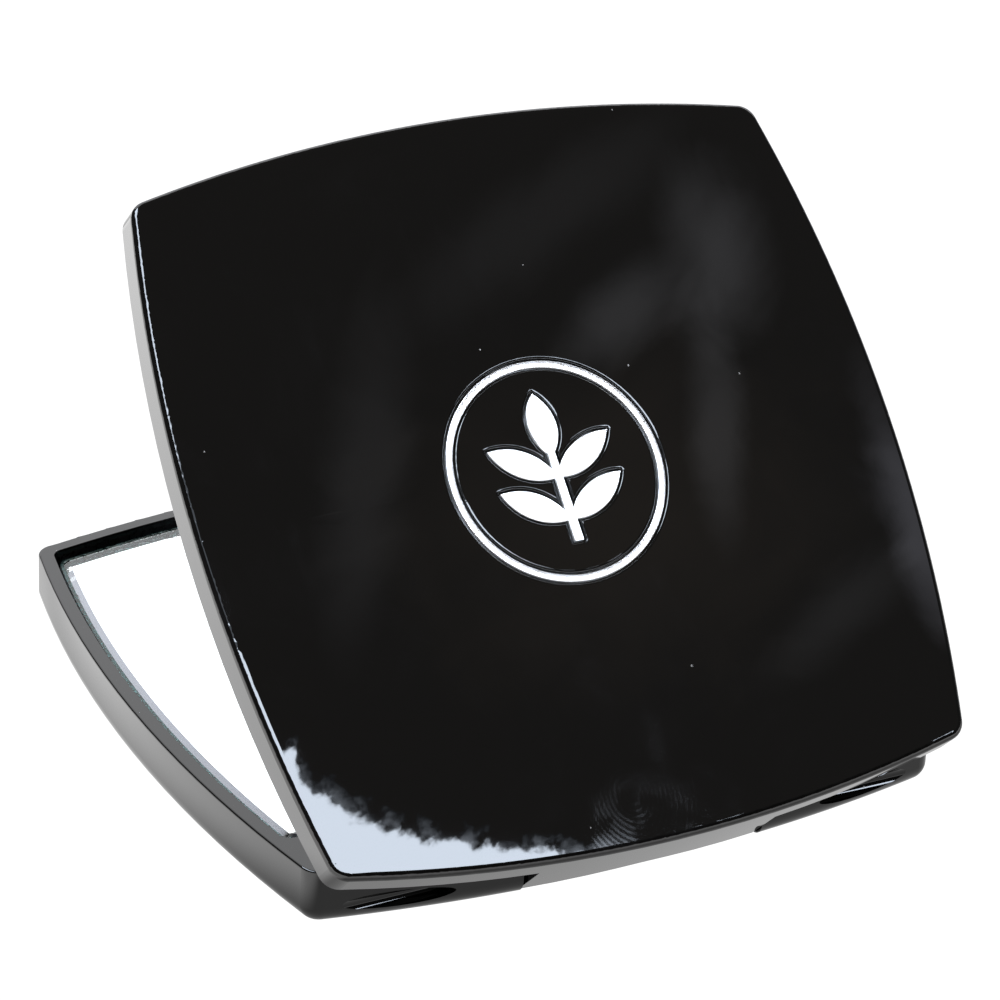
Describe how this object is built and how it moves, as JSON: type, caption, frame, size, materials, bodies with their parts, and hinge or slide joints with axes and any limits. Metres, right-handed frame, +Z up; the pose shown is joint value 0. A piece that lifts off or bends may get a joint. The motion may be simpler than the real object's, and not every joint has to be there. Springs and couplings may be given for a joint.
{
  "type": "mirror compact",
  "caption": "Square pocket compact with bowed sides: a hinged lid, a bevelled mirror in each half and a polished emblem let into the lid.",
  "frame": {"origin": "centre of the base's flat underside", "axes": "+Z up out of the base, X along the hinge, +Y towards the hinge, -Y towards the latch"},
  "size_m": [0.064, 0.0679, 0.0495],
  "materials": {
    "black_case": "high gloss black",
    "bottom_cover": "satin black",
    "mirror_glass": "silvered glass",
    "adhesive_pad": "matt foam",
    "pin_steel": "ground",
    "emblem_metal": "polished"
  },
  "bodies": {
    "base": {"base_shell": "black_case", "base_bottom_plate": "bottom_cover", "base_mirror": "mirror_glass", "base_mirror_pad": "adhesive_pad", "hinge_pin_left": "pin_steel", "hinge_pin_right": "pin_steel"},
    "lid": {"lid_shell": "black_case", "lid_mirror": "mirror_glass", "lid_mirror_pad": "adhesive_pad", "emblem_ring": "emblem_metal", "emblem_sprig": "emblem_metal"}
  },
  "joints": [
    {"name": "lid_hinge", "type": "hinge", "parent": "base", "child": "lid", "pos_m": [0, 0.0302, 0.00185], "axis": [-1, 0, 0], "range_deg": [-43.8, 46.2]}
  ]
}
